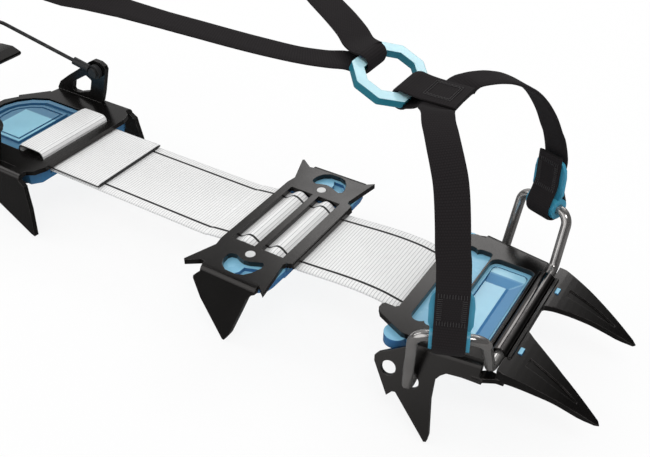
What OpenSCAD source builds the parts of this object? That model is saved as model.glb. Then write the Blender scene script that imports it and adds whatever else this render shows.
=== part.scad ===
// Mountaineering crampon: toe section, mid plate and heel section joined by a webbing link.
// Frame: +X toward the toe, +Z up. z = 0 is the plane that the boot sole rests on.
// The origin is the centre of the toe plate's cross web, on its top face.

/* [Steel plates] */
// Thickness of the folded steel sheet
sheet = 2.5; // [2.2:0.1:2.6]
// Depth of the ground points below the sole plane
point_depth = 33.5; // [30:0.5:37]
// Inside radius of the sheet's bends
bend_r = 0.8; // [0.6:0.1:1]
// Outward splay of the toe plate's side flanges, degrees
toe_splay = 25.6; // [22:0.2:28]
// Outward splay of the mid plate's side flanges, degrees
mid_splay = 7.3; // [4:0.1:9]
// Outward splay of the heel plate's side points, degrees
heel_splay = 4.5; // [3:0.1:7]

/* [Toe bails] */
// Diameter of the bail wire
wire_d = 4.2; // [3.8:0.1:4.4]
// Outside diameter of the toe bar tube
toe_bar_d = 7; // [6.8:0.1:7.2]
// Length of the toe bar tube
toe_bar_l = 51; // [50:0.5:52]
// Radius of the bail's bends, on the wire's centre line
bail_bend_r = 5.5; // [5:0.1:6]
// Outside diameter of the plastic sleeve on the bail
sleeve_d = 9; // [8.4:0.1:9.4]
// Length of the plastic sleeve along the bail
sleeve_l = 14; // [13:0.5:15]

/* [Webbing] */
// Width of the toe strap webbing
toe_web_w = 11.5; // [11:0.5:12]
// Width of the ankle strap webbing
ankle_web_w = 13; // [12:0.5:13.5]
// Thickness of the toe and ankle webbing
web_t = 1.4; // [1.2:0.1:1.5]
// Width of the link webbing between the plates
link_w = 45; // [43:0.5:45.6]
// Thickness of the link webbing
link_t = 1.5; // [1.3:0.1:1.6]
// Travel of the heel section along the link webbing
adjust_travel = 30; // [20:1:32]

/* [Strap ring] */
// Outside length of the strap ring, across the foot
ring_l = 34; // [31:0.5:37]
// Outside width of the strap ring, along the slope
ring_w = 24; // [23:0.5:25]
// Width of the ring's flat bar
ring_bar = 4.5; // [4:0.1:4.8]
// Thickness of the ring's flat bar
ring_t = 3; // [2.6:0.1:3.2]

/* [Heel binding] */
// Diameter of the heel cable
cable_d = 2; // [1.8:0.1:2.2]
// Diameter of the ear pins that the cable turns on
ear_pin_d = 4; // [3.6:0.1:4.2]
// Backward lean of the heel lever, degrees
lever_lean = 10; // [6:1:14]
// Diameter of the height adjusting wheel
wheel_d = 18; // [16:0.5:18.4]
// Diameter of the height adjusting screw
screw_d = 4.8; // [4.4:0.1:5]

/* [Fasteners] */
// Diameter of the mid plate rivets' shanks
rivet_d = 2.6; // [2.2:0.1:2.8]
// Diameter of the mid plate rivets' heads
rivet_head_d = 4.4; // [4:0.1:4.8]
// Diameter of the link webbing's anchor pin
anchor_pin_d = 3; // [2.6:0.1:3.2]

/* [Hidden] */
$fn = 48;

steel = [0.10, 0.10, 0.10];
polished = [0.30, 0.29, 0.29];
blue = [0.60, 0.83, 0.91];
teal = [0.25, 0.61, 0.75];
web_black = [0.13, 0.12, 0.13];
web_white = [0.90, 0.90, 0.90];
ice = [0.78, 0.93, 0.97];
off_white = [0.92, 0.93, 0.93];

run_fit = 0.05;
slip = 0.3;
wire_r = wire_d / 2;
bend_o = bend_r + sheet;
tube_c = [27.6, -1.9];
tube_r = toe_bar_d / 2;
tube_bore = wire_r + 0.75;
trough_t = 1.5;
link_h = link_w / 2;
link_z = -sheet - 0.4 - link_t / 2;
low_z = -5.6;
tail_z = low_z + link_t + 0.3;

function unit(v) = v / norm(v);
function flip(p) = [for (q = [len(p) - 1 : -1 : 0]) [p[q][0], -p[q][1]]];
function both_sides(p) = concat(p, flip(p));
// Point at distance u along and y across a flange's own frame
function fp(o, a, u, y) = [o[0] + u * cos(a) - y * sin(a), o[1] + u * sin(a) + y * cos(a)];
function flange_v0(s) = -(3 - bend_o * (1 - sin(s))) / cos(s);
function flange_yc(s) = flange_v0(s) * sin(s) - bend_o * cos(s);
function tip_v(s) = (point_depth - 3) / cos(s);

function arc(c, r, a0, a1, n = 18) = [for (i = [0 : n]) let (a = a0 + (a1 - a0) * i / n) c + r * [cos(a), sin(a)]];

// Both halves of a mirrored pair
module pair() {
    children();
    mirror([0, 1, 0]) children();
}

// A shape drawn in X and Z, made from y = -w to y = w
module across(w) {
    translate([0, w, 0]) rotate([90, 0, 0]) linear_extrude(2 * w) children();
}

// A shape drawn in X and Z, made from y0 to y1
module across_from(y0, y1) {
    translate([0, y1, 0]) rotate([90, 0, 0]) linear_extrude(y1 - y0) children();
}

module rod(a, b, r) {
    d = unit(b - a);
    translate(a) rotate([0, acos(d[2]), atan2(d[1], d[0])]) cylinder(h = norm(b - a), r = r);
}

// Points round the corner b of a path a, b, c, on an arc of radius rad
function corner(a, b, c, rad, k) =
    let (u = unit(b - a), w = unit(c - b), th = acos(u * w), m = unit(w - u),
         cen = b + m * rad / cos(th / 2), s = b - u * rad * tan(th / 2),
         e1 = unit(s - cen), e2 = cross(unit(cross(u, w)), e1))
    [for (i = [0 : k]) cen + rad * (cos(th * i / k) * e1 + sin(th * i / k) * e2)];

function smooth_path(p, rads, k) = let (n = len(p))
    concat([p[0]], [for (i = [1 : n - 2]) each corner(p[i - 1], p[i], p[i + 1], rads[i - 1], k)], [p[n - 1]]);

function path_dir(p, i) = unit(p[min(i + 1, len(p) - 1)] - p[max(i - 1, 0)]);

function carried(p, i, n) = i == len(p) ? []
    : let (t = path_dir(p, i), m = unit(n - t * (n * t))) concat([m], carried(p, i + 1, m));

// Round wire of radius r along the points p, with bends of radius rads[i] at the inner points
module wire(p, rads, r, k = 8, sides = 20) {
    q = smooth_path(p, rads, k);
    n = len(q);
    t0 = path_dir(q, 0);
    ns = carried(q, 0, unit(cross(t0, abs(t0[2]) < 0.8 ? [0, 0, 1] : [0, 1, 0])));
    pts = [for (i = [0 : n - 1]) let (b = cross(path_dir(q, i), ns[i])) for (j = [0 : sides - 1])
        q[i] + r * (cos(360 * j / sides) * ns[i] + sin(360 * j / sides) * b)];
    skin = [for (i = [0 : n - 2]) for (j = [0 : sides - 1])
        let (a = i * sides + j, b = i * sides + (j + 1) % sides, c = a + sides, d = b + sides)
        each [[a, c, d], [a, d, b]]];
    ends = [[for (j = [0 : sides - 1]) j], [for (j = [sides - 1 : -1 : 0]) (n - 1) * sides + j]];
    polyhedron(pts, concat(skin, ends));
}

// Flat webbing of thickness t along the points p, with half-width vectors w
module band(p, w, t) {
    n = len(p);
    nn = [for (i = [0 : n - 1])
        unit(cross(p[min(i + 1, n - 1)] - p[max(i - 1, 0)], w[i])) * t / 2];
    pts = [for (i = [0 : n - 1])
        each [p[i] - w[i] - nn[i], p[i] + w[i] - nn[i], p[i] + w[i] + nn[i], p[i] - w[i] + nn[i]]];
    sides = [for (i = [0 : n - 2]) for (j = [0 : 3]) let (k = (j + 1) % 4, a = 4 * i, b = 4 * i + 4)
        each [[a + j, b + j, b + k], [a + j, b + k, a + k]]];
    caps = [[0, 1, 2], [0, 2, 3], [4 * n - 1, 4 * n - 2, 4 * n - 3], [4 * n - 1, 4 * n - 3, 4 * n - 4]];
    polyhedron(pts, concat(caps, sides));
}

// Webbing seen edge-on: a centre line c in X and Z, thickness t, round ends where asked
module edge_line(c, t, e0 = true, e1 = true) {
    n = len(c);
    d = [for (i = [0 : n - 1]) let (v = unit(c[min(i + 1, n - 1)] - c[max(i - 1, 0)])) [-v[1], v[0]] * t / 2];
    a1 = atan2(d[n - 1][1], d[n - 1][0]);
    a0 = atan2(-d[0][1], -d[0][0]);
    cap1 = e1 ? [for (q = [1 : 5]) c[n - 1] + t / 2 * [cos(a1 - 30 * q), sin(a1 - 30 * q)]] : [];
    cap0 = e0 ? [for (q = [1 : 5]) c[0] + t / 2 * [cos(a0 - 30 * q), sin(a0 - 30 * q)]] : [];
    polygon(concat([for (i = [0 : n - 1]) c[i] + d[i]], cap1, [for (i = [n - 1 : -1 : 0]) c[i] - d[i]], cap0));
}

// Side flange in its own frame: a strip of the flat plate, a bend and a splayed sheet, from u0 to u1.
// u runs along the plate's edge, v down the sheet from z = -3. The sheet keeps only the outline pts.
module flange(o, a, s, pts, u0, u1) {
    v0 = flange_v0(s);
    yc = flange_yc(s);
    ulo = min([for (q = pts) q[0]]) - 1;
    uhi = max([for (q = pts) q[0]]) + 1;
    down = [sin(s), -cos(s)] * 60;
    steps = 7;
    outer = [for (i = [0 : steps]) let (b = 90 + (s - 90) * i / steps) [yc + bend_o * cos(b), -bend_o + bend_o * sin(b)]];
    inner = [for (i = [steps : -1 : 0]) let (b = 90 + (s - 90) * i / steps) [yc + bend_r * cos(b), -bend_o + bend_r * sin(b)]];
    translate([o[0], o[1], 0]) rotate([0, 0, a]) difference() {
        intersection() {
            translate([ulo, 0, 0]) rotate([90, 0, 90]) linear_extrude(uhi - ulo)
                polygon(concat([[yc - 3, -sheet], [yc - 3, 0]], outer, [outer[steps] + down, inner[0] + down], inner));
            translate([0, 0, -3]) rotate([s - 90, 0, 0]) translate([0, 0, -14]) linear_extrude(16)
                polygon(concat([for (q = pts) q], [[u1, v0 - 12], [u0, v0 - 12]]));
        }
        translate([0, 0, -3]) rotate([s - 90, 0, 0]) translate([0, 0, -14]) linear_extrude(18) children();
    }
}

// Toe plate

// Top of the narrow strip that carries the flange forward under the bail's foot
strip_z = -5.2;
toe_o = [-7, 40.6];
toe_a = -8.18;
point_tip = [68.1, 24, -17.2];
blade_x0 = 26;

// Height of a front point's top face
function blade_z(x) = x < blade_x0 ? 0 : point_tip[2] * pow((x - blade_x0) / (point_tip[0] - blade_x0), 1.55);
function blade_t(x) = sheet * min(1, 0.25 + (point_tip[0] - x) / 9);

blade_plan = [
    [26, 8], [26, 33.2], [33, 34.3], [45, 31.4], [58, 27.7], [66.5, 25.1], [68.1, 24],
    [67.2, 22.7], [60, 20.2], [50, 16.7], [42, 13.3], [36, 10.5], [33, 8.6], [31, 5]
];

module toe_outline() {
    e0 = fp(toe_o, toe_a, 5, flange_yc(toe_splay) - 1);
    e1 = fp(toe_o, toe_a, 33, flange_yc(toe_splay) - 1);
    half = [
        [-15.5, 0], [-15.5, 23.2], [-16.6, 24.4], [-21, 24.5], [-22, 25.5], [-22, 28], [-20.2, 30.3],
        [-13.7, 33.3], [-7.9, 35.8], e0, e1, [e1[0], 26.2], [24.6, 26.2], [24.6, 0]
    ];
    difference() {
        polygon(both_sides(half));
        offset(r = 2) square([2.8, 50], center = true);
    }
}

module front_point() {
    n = 16;
    xs = [for (i = [0 : n]) blade_x0 + i * (point_tip[0] - blade_x0) / n];
    top = [for (x = xs) [x, blade_z(x)]];
    bot = [for (i = [n : -1 : 0]) [xs[i], blade_z(xs[i]) - blade_t(xs[i])]];
    intersection() {
        across_from(0, 40) polygon(concat(top, bot));
        translate([0, 0, -40]) linear_extrude(60) polygon(blade_plan);
    }
    rim = [for (i = [n : -1 : 0]) [xs[i], blade_z(xs[i]) - max(blade_t(xs[i]), 5.6 - 5.2 * i / n)]];
    intersection() {
        across_from(0, 40) polygon(concat(top, rim));
        translate([0, 0, -40]) linear_extrude(60) difference() {
            polygon(blade_plan);
            translate([-0.6, -2.4]) polygon(blade_plan);
            translate([-30, 0]) square([60, 22]);
        }
    }
}

module front_groove() {
    n = 10;
    xs = [for (i = [0 : n]) 38 + i * 22 / n];
    intersection() {
        across_from(0, 40) polygon(concat([for (x = xs) [x, blade_z(x) + 2]],
            [for (i = [n : -1 : 0]) [xs[i], blade_z(xs[i]) - 0.7]]));
        translate([38, 22.5, -40]) rotate([0, 0, 3]) linear_extrude(60)
            polygon([[0, -2.4], [14, -1.6], [20.5, -0.4], [20.5, 0.4], [14, 1.6], [0, 2.4]]);
    }
}

module toe_half() {
    v0 = flange_v0(toe_splay);
    tv = tip_v(toe_splay);
    sil = [
        [3.6, v0 + 0.2], [-6.7, 4.6], [-7.9, 6], [-7.6, 8.2], [-0.3, 20.3], [1.6, 18.2], [2.9, 18],
        [17.6, tv], [18.6, tv - 0.3], [18.9, 31.8 - 1], [16.7, 16.7], [16.5, 8.5], [18.3, 6.1],
        [20.3, 4.6], [26, 4.3], [30, 4.5], [33.5, 4.7]
    ];
    flange(toe_o, toe_a, toe_splay, sil, 3.6, 33.5) {
        union() {
            translate([-1.7, 9.4]) circle(r = 3);
            translate([8.2, 12.1]) circle(r = wire_r + 0.75);
        }
    }
    front_point();
}

module front_plate() {
    color(steel) difference() {
        union() {
            translate([0, 0, -sheet]) linear_extrude(sheet) difference() {
                toe_outline();
                translate([-6.1, 0]) square([6.8 - 0.01, 54 - 6.8], center = true);
                pair() translate([-6.1, 23.6]) circle(r = 3.4);
                offset(r = 4) translate([8.2, -20.9]) square([11.6, 41.8]);
            }
            pair() toe_half();
            pair() translate([0, 0, strip_z - 2.2]) linear_extrude(2.2)
                polygon([[20.6, 36.4], [22.6, 37.7], [25, 37.4], [30.8, 34.3], [33.6, 34], [33.6, 31.8], [26, 31.8]]);
            across(26) intersection() {
                translate(tube_c) difference() {
                    circle(r = tube_r + run_fit + trough_t, $fn = 96);
                    circle(r = tube_r + run_fit, $fn = 96);
                }
                translate([0, -20]) square([50, 20]);
            }
        }
        translate([tube_c[0], -26.3, tube_c[1]]) rotate([-90, 0, 0])
            cylinder(h = 52.6, r = tube_r + run_fit, $fn = 96);
        translate([tube_c[0] - tube_r - run_fit, -26.3, tube_c[1]])
            cube([2 * tube_r + 2 * run_fit, 52.6, 10]);
        pair() translate([tube_c[0] - wire_r - 0.5, 26.2, strip_z]) cube([wire_d + 1, 18, 12]);
        pair() front_groove();
        pair() translate([33.2, 17.8, -10]) cube([2, 4, 14]);
        pair() rod(bail_in + (bail_in - bail_hook) * 0.3, bail_in + (bail_hook - bail_in) * 0.75, wire_r + 0.75);
    }
}

module toe_bar() {
    color(polished) translate([tube_c[0], -toe_bar_l / 2, tube_c[1]]) rotate([-90, 0, 0])
        difference() {
            cylinder(h = toe_bar_l, r = tube_r, $fn = 96);
            translate([0, 0, -1]) cylinder(h = toe_bar_l + 2, r = tube_bore);
        }
}

module front_antiball() {
    color(blue) difference() {
        union() {
            translate([0, 0, -9.2]) linear_extrude(9.2 - sheet - 0.1)
                polygon(both_sides([[-10.8, 0], [-10.8, 28.5], [-7, 33.6], [6, 33.4], [20, 30.5], [21.6, 27], [21.6, 0]]));
            pair() translate([-10.8, 34.2, -7]) cylinder(h = 7 - sheet - 0.1, r = 4.9);
            pair() translate([20, 18, -9.2]) cube([15, 3.6, 1.9]);
            pair() translate([33.4, 18, -9.2]) cube([1.6, 3.6, 8.2]);
        }
        translate([-30, -link_h - 0.7, -20]) cube([30.8, link_w + 1.4, 20 - sheet - 1.2]);
        translate([pin_c[0], -25.8, pin_c[1]]) rotate([-90, 0, 0]) cylinder(h = 51.6, r = anchor_pin_d / 2 + 0.02);
        translate([5.6, -23, -4.6]) linear_extrude(5) offset(r = 2) translate([2, 2]) square([11.4, 42]);
        translate([tube_c[0], -40, tube_c[1]]) rotate([-90, 0, 0])
            cylinder(h = 80, r = tube_r + run_fit + trough_t + 0.1, $fn = 96);
    }
}

pin_c = [-3.2, -6.9];

module link_pin() {
    color(polished) translate([pin_c[0], -25.6, pin_c[1]]) rotate([-90, 0, 0])
        cylinder(h = 51.2, r = anchor_pin_d / 2);
}

hinge1 = [-17.2, link_z - 0.1];
hinge2 = [-64.2, link_z - 0.5];
hinge3 = [-103.4, link_z - 0.1];
joint_gap = link_t / 2 + slip;

module link_tuck() {
    ri = anchor_pin_d / 2 + 0.15;
    z = hinge1[1];
    x = hinge1[0] + joint_gap;
    h = link_t / 2;
    color(web_white) across(link_h) difference() {
        polygon(concat([[x, z + h], [-13.5, z + h], [-11, z - 0.8 + h], [-8.6, z - 1.6 + h]],
            arc(pin_c, ri + link_t, 120, -150),
            [[-8.4, z - 1.7 - h], [-11.2, z - 0.8 - h], [-13.7, z - h], [x, z - h]]));
        translate(pin_c) circle(r = ri);
    }
}

// Toe bails, sleeves and straps, drawn on the far side

bail_in = [1.15, 40.2, -12.2];
bail_hook = [1.2, 47.4, -15.2];
bail_rear = [4.2, 52, 19];
bail_front = [27.2, 42.8, 19.8];
bail_foot = [tube_c[0], 33.2, tube_c[1]];
bail_end = [tube_c[0], 22.6, tube_c[1]];
bail_dir = unit(bail_front - bail_rear);
sleeve_c = bail_rear + bail_dir * norm(bail_front - bail_rear) * 0.5;
sleeve_up = unit([0, 0, 1] - bail_dir * bail_dir[2]);
sleeve_out = cross(sleeve_up, bail_dir);

module bail() {
    color(polished) wire([bail_in, bail_hook, bail_rear, bail_front, bail_foot, bail_end],
        [3.4, bail_bend_r, bail_bend_r, 4.6], wire_r);
}

// Frame on the bail's crossbar: x outward, y up, z along the wire
module on_sleeve() {
    multmatrix([[sleeve_out[0], sleeve_up[0], bail_dir[0], sleeve_c[0]],
                [sleeve_out[1], sleeve_up[1], bail_dir[1], sleeve_c[1]],
                [sleeve_out[2], sleeve_up[2], bail_dir[2], sleeve_c[2]], [0, 0, 0, 1]])
        mirror([1, 0, 0]) children();
}

tongue_t = 1.6;
leg_in = tongue_t / 2 + slip;

module guard() {
    color(teal) on_sleeve() difference() {
        union() {
            translate([0, 0, -sleeve_l / 2]) cylinder(h = sleeve_l, d = sleeve_d);
            translate([-tongue_t / 2, 0, 0]) rotate([90, 0, 90]) linear_extrude(tongue_t)
                polygon([for (q = [[0, -1], [5, -1], [7, -1.1], [15, -1.1], [18.6, -1.02], [21, -0.8], [22, -0.5],
                    [22, 0.5], [21, 0.8], [18.6, 1.02], [15, 1.1], [7, 1.1], [5, 1], [0, 1]]) [q[0], q[1] * sleeve_l / 2]]);
        }
        translate([0, 0, -sleeve_l]) cylinder(h = 2 * sleeve_l, r = wire_r + run_fit);
    }
}

toe_path = [
    sleeve_c + sleeve_up * 25, [13.9, 46.8, 50.5], [12.4, 45.5, 55.3], [10.4, 42.9, 62.5], [7.7, 39.2, 69.4], [5.2, 36, 74],
    [2.4, 32.8, 77.3], [-1.6, 28, 80.6], [-5, 23.4, 82], [-8.1, 19, 82.6], [-11, 13.8, 82.8], [-13.4, 8.9, 82.8]
];

function toe_w(i) = let (k = i / 11, a = bail_dir * (1 - k) + [0.86, -0.51, 0] * k)
    i == 11 ? [toe_web_w * 0.6, 0, 0] : unit(a) * toe_web_w / 2;

module toe_strap() {
    ro = sleeve_d / 2 + slip + web_t;
    ri = sleeve_d / 2 + slip;
    color(web_black) {
        on_sleeve() translate([0, 0, -toe_web_w / 2]) linear_extrude(toe_web_w) difference() {
            union() {
                circle(r = ro);
                polygon([[-ro * 0.97, 1.4], [-leg_in - web_t, 10], [-leg_in - web_t, 24], [leg_in + web_t, 24],
                         [leg_in + web_t, 10], [ro * 0.97, 1.4]]);
                polygon([[-leg_in - web_t, 24], [-web_t, 26.6], [web_t, 26.6], [leg_in + web_t, 24]]);
            }
            circle(r = ri);
            polygon([[-ri * 0.97, 1.1], [-leg_in, 10.4], [-leg_in, 22.6], [leg_in, 22.6], [leg_in, 10.4],
                     [ri * 0.97, 1.1]]);
        }
        band(toe_path, [for (i = [0 : 11]) toe_w(i)], 2 * web_t);
    }
}

// Strap ring, its tab and the ankle strap

ring_c = [-37, 0, 85];
ring_pitch = 25;
ring_off = ring_w / 2 - ring_bar / 2;
ring_front = [ring_c[0] + ring_off * cos(ring_pitch), ring_c[2] - ring_off * sin(ring_pitch)];
ring_rear = [ring_c[0] - ring_off * cos(ring_pitch), ring_c[2] + ring_off * sin(ring_pitch)];
loop_ri = norm([ring_bar / 2, ring_t / 2]) + 0.2;
loop_ro = loop_ri + web_t;

module ring_outline(l, w, c) {
    polygon([[w / 2, -l / 2 + c], [w / 2, l / 2 - c], [w / 2 - c, l / 2], [-w / 2 + c, l / 2],
             [-w / 2, l / 2 - c], [-w / 2, -l / 2 + c], [-w / 2 + c, -l / 2], [w / 2 - c, -l / 2]]);
}

module strap_ring() {
    color(ice) translate(ring_c) rotate([0, ring_pitch, 0]) translate([0, 0, -ring_t / 2])
        linear_extrude(ring_t) difference() {
            offset(r = 1.2) ring_outline(ring_l - 2.4, ring_w - 2.4, 6.4);
            ring_outline(ring_l - 2 * ring_bar, ring_w - 2 * ring_bar, 4.4);
        }
}

module strap_tab() {
    color(web_black) across(8.5) difference() {
        polygon(concat(arc(ring_front, loop_ro, 75, 315),
            [[-19.5, 81.4], [-7, 81.4], [-7, 84.2], [-20, 84.2]]));
        translate(ring_front) circle(r = loop_ri);
    }
}

lap_y = 46;
lap_z = 110;
ankle_far = [
    [-52.5, 4, 92.2], [-58, 8.2, 93.6], [-66, 13.2, 95.4], [-77, 19.9, 97.1], [-88, 26.5, 98.8], [-99, 32.4, 100.6],
    [-112, 38, 103], [-125, 42, 105.2], [-137, 44.6, 107.2], [-146, 45.7, 108.6], [-155, lap_y, 109.6],
    [-166, lap_y, lap_z], [-176, lap_y, lap_z], [-200, lap_y, lap_z]
];
turn_far = [0, 0, 0, 0, 4, 12, 26, 42, 58, 70, 80, 88, 90, 90];
ankle_near = [
    [-52.5, 4.6, 88.1], [-58, 9.6, 89.4], [-66, 15.4, 91.3], [-77, 20.8, 93.7], [-88, 25.5, 96.1], [-99, 29.8, 98.5],
    [-112, 34.7, 101.2], [-125, 39.4, 104], [-137, 43.2, 106.5], [-146, 45.2, 108.2], [-155, lap_y, 109.4],
    [-166, lap_y, lap_z], [-176, lap_y, lap_z], [-200, lap_y, lap_z]
];
turn_near = [0, 0, 0, 0, 0, 0, 0, 3, 14, 34, 58, 80, 90, 90];

// Half-width vector that turns from flat to upright as the strap leaves the ring
function upright(t, phi) = let (h = unit([-t[1], t[0], 0]), v = unit(cross(t, h))) cos(phi) * h + sin(phi) * v;

module ankle_run(p, turn) {
    band(p, [for (i = [0 : len(p) - 1]) upright(path_dir(p, i), turn[i]) * ankle_web_w / 2], web_t);
}

module ankle_strap() {
    color(web_black) {
        across(ankle_web_w / 2) difference() {
            union() {
                translate(ring_rear) circle(r = loop_ro);
                polygon([ring_rear + [-0.6, loop_ro - 0.2], [-54, 93.4], [-54, 91.9], ring_rear + [-1, 2.5]]);
                polygon([ring_rear + [-1, -2.5], [-54, 89.1], [-54, 87.6], ring_rear + [-0.4, 0.2 - loop_ro]]);
            }
            translate(ring_rear) circle(r = loop_ri);
        }
        ankle_run(ankle_far, turn_far);
        mirror([0, 1, 0]) ankle_run(ankle_near, turn_near);
    }
}

module strap_keeper() {
    h = ankle_web_w / 2 + slip;
    color(web_black) translate([-170.4, lap_y, lap_z]) difference() {
        cube([7, web_t + 2 * slip + 3, 2 * h + 3], center = true);
        cube([9, web_t + 2 * slip + 0.2, 2 * h + 0.3], center = true);
    }
}

// Link webbing

module link_front() {
    color(web_white) across(link_h) edge_line([hinge1, [-21, hinge1[1] + 0.7], [-27, hinge1[1] + 1.5],
        [-36, hinge1[1] + 1.7], [-46, hinge1[1] + 1.2], [-56, hinge1[1] + 0.3], hinge2], link_t);
}

hump = sheet + 0.5;

function link_mid_z(x) = x > -71.4 ? hinge2[1]
    : x > -82.8 ? hinge2[1] + (link_z - hinge2[1]) * (-71.4 - x) / 11.4 + hump * pow(sin(180 * (-71.4 - x) / 11.4), 2)
    : x > -86 ? link_z
    : x > -98 ? link_z + hump * pow(sin(180 * (-86 - x) / 12), 2)
    : link_z;

module link_mid() {
    x0 = hinge2[0] - joint_gap;
    x1 = hinge3[0] + joint_gap;
    color(web_white) across(link_h) edge_line(concat([[x0, hinge2[1]]],
        [for (i = [0 : 34]) let (x = -66.5 - i) [x, link_mid_z(x)]], [[x1, hinge3[1]]]), link_t, false, false);
}

rear_end = -217;

module link_rear() {
    color(web_white) across(link_h) edge_line([hinge3, [-107, hinge3[1] - 0.2], [-112, hinge3[1] - 0.9],
        [-117, low_z], [-160, low_z], [rear_end, low_z]], link_t, true, false);
}

module link_tail() {
    color(web_white) across(link_h) edge_line([[-180, tail_z], [rear_end - adjust_travel, tail_z]], link_t);
}

module link_bight() {
    t = link_t;
    color(web_white) across(link_h) difference() {
        union() {
            translate([-233.4 - t, -2.65]) square([233.4 - 218.2 + 2 * t, 2.65]);
            hull() {
                translate([-231.6, 0]) circle(r = 1.8 + t);
                translate([-220, 0]) circle(r = 1.8 + t);
                translate([-225.8, 0.3]) circle(r = 1.8 + t - 0.2);
            }
        }
        translate([-233.4, -6]) square([233.4 - 218.2, 6.05]);
        translate([-240, -8]) square([30, 8 - 2.65]);
        hull() {
            translate([-231.6, 0]) circle(r = 1.8);
            translate([-220, 0]) circle(r = 1.8);
        }
        translate([-235.2, -2.7]) square([235.2 - 216.4, 2.7]);
    }
    color(web_white) across(link_h) {
        translate([-233.4 - t, -2.65]) square([t, 2.8]);
        translate([-218.2, -2.65]) square([t, 2.8]);
    }
}

// Mid plate

module mid_side() {
    s = mid_splay;
    v0 = flange_v0(s);
    tv = tip_v(s);
    sil = [
        [0, v0 + 0.2], [-1.6, 1.5], [-3.7, 3.6], [-3.9, 5], [-0.1, 13.6], [6.4, 23], [11.8, tv], [12.8, tv],
        [15.7, 26.2], [20.5, 14], [24.2, 4.3], [26.4, 1.2], [28.3, v0 + 0.2]
    ];
    flange([-98, 46], 0, s, sil, 0, 28.3);
}

module mid_plate() {
    ey = 46 + flange_yc(mid_splay) - 1;
    half = [
        [-65.6, 0], [-65.6, 24.4], [-68.2, 25.4], [-68.6, 27], [-65.5, 46], [-69.8, 42.6], [-71, ey], [-97, ey], [-98.4, 42.4], [-99.8, 42],
        [-105.9, 46.3], [-106.6, 45.6], [-101.1, 30.6], [-102, 25.7], [-102, 0]
    ];
    color(steel) difference() {
        union() {
            translate([0, 0, -sheet]) linear_extrude(sheet) polygon([for (q = flip(both_sides(half))) q]);
            pair() mid_side();
            across(24) polygon([[-67.6, -0.1], [-66.2, -0.1], [-65.2, -0.9], [-65, -sheet - 0.5], [-67.2, -sheet - 0.5],
                                [-67.6, -sheet]]);
        }
        translate([-98, -link_h - 0.6, -6]) cube([12, link_w + 1.2, 12]);
        translate([-82.7, -link_h - 0.6, -6]) cube([11.5, link_w + 1.2, 12]);
        pair() translate([0, 0, -6]) linear_extrude(12) polygon([
            [-92.6, 33.4], [-91.7, 31.9], [-89.4, 31.4], [-87.2, 32.4], [-84.5, 33.1], [-81.6, 32.6], [-78.8, 31.2],
            [-76.4, 30.3], [-75, 31.4], [-75, 33.8], [-76.6, 38], [-79, 41], [-82.4, 42.2], [-87.4, 42.1], [-90.6, 40],
            [-92.3, 36.8]
        ]);
        pair() translate([-84.5, 28.3, -6]) cylinder(h = 12, d = rivet_d + 0.1);
        pair() translate([-84.5, 28.3, -rivet_seat]) cylinder(h = 4, d = rivet_head_d + 0.3);
    }
}

// Depth of the seat that sinks a rivet head into the mid plate
rivet_seat = 1.4;

module mid_rivets() {
    color(off_white) pair() translate([-84.5, 28.3, 0]) {
        translate([0, 0, -6.6]) cylinder(h = 5.6, d = rivet_d);
        translate([0, 0, 0.1 - rivet_seat]) cylinder(h = rivet_seat - 0.15, d = rivet_head_d);
        translate([0, 0, -7]) cylinder(h = 1.3, d = rivet_head_d + 0.6);
    }
}

module mid_antiball() {
    top = -sheet - 0.1;
    y = min(42.3, 46 + flange_yc(mid_splay) - 0.4);
    color(blue) difference() {
        union() {
            translate([0, 0, -5.6]) linear_extrude(5.6 + top)
                polygon(both_sides([[-100, 0], [-100, 29], [-97.5, y - 1.4], [-95.6, y], [-71.4, y], [-68.4, y - 2.4],
                    [-67.6, 36], [-67.4, 27], [-69, 25], [-69, 0]]));
            translate([0, 0, -8.6]) linear_extrude(8.6 + top)
                polygon(both_sides([[-100, 0], [-100, link_h + 3.1], [-69, link_h + 3.1], [-69, 0]]));
        }
        difference() {
            translate([-110, -link_h - 0.7, -6.2]) cube([60, link_w + 1.4, 12]);
            across(link_h - 2) polygon([[-79.6, -7], [-74.4, -7], [-75.4, -3.2], [-77, link_z + hump - link_t / 2 - 0.35],
                [-79.1, -2.9]]);
            across(link_h - 2) polygon([[-94.8, -7], [-89.2, -7], [-89.8, -2.9], [-92, link_z + hump - link_t / 2 - 0.35],
                [-94.2, -2.9]]);
        }
        translate([-110, -link_h - 0.7, -6.2]) cube([12.4, link_w + 1.4, 12]);
        pair() translate([-84.5, 28.3, -12]) cylinder(h = 12, d = rivet_d + 0.1);
        pair() translate([0, 0, -4.4]) linear_extrude(4) polygon([[-83.2, 34.6], [-76, 32], [-76.2, 37.2], [-79.6, 40.4],
            [-85, 40.6], [-83.4, 38]]);
    }
}

// Heel section

heel_rear_o = [-281.4, 18.6];
heel_rear_a = 48.6;
heel_rear_splay = 8;
ear_y = 37.5;
ear_pin = [-232, 20];

module heel_ear() {
    across_from(ear_y - sheet, ear_y) difference() {
        polygon([[-267, -sheet], [-267, 0.8], [-264, 5.2], [-256, 11], [-246, 17.6], [-237.5, 23.6], [-234, 25.6],
                 [-229, 25.4], [-226.2, 23.9], [-225.5, 22], [-230, 7.8], [-232.6, 1.2], [-236, -sheet]]);
        offset(r = 1) polygon([[-241.9, 13.4], [-239.4, 12], [-241.6, 5.8], [-249.8, 3], [-253.6, 3], [-252.2, 7.2]]);
        translate(ear_pin) circle(r = ear_pin_d / 2 + 0.02);
    }
}

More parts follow.
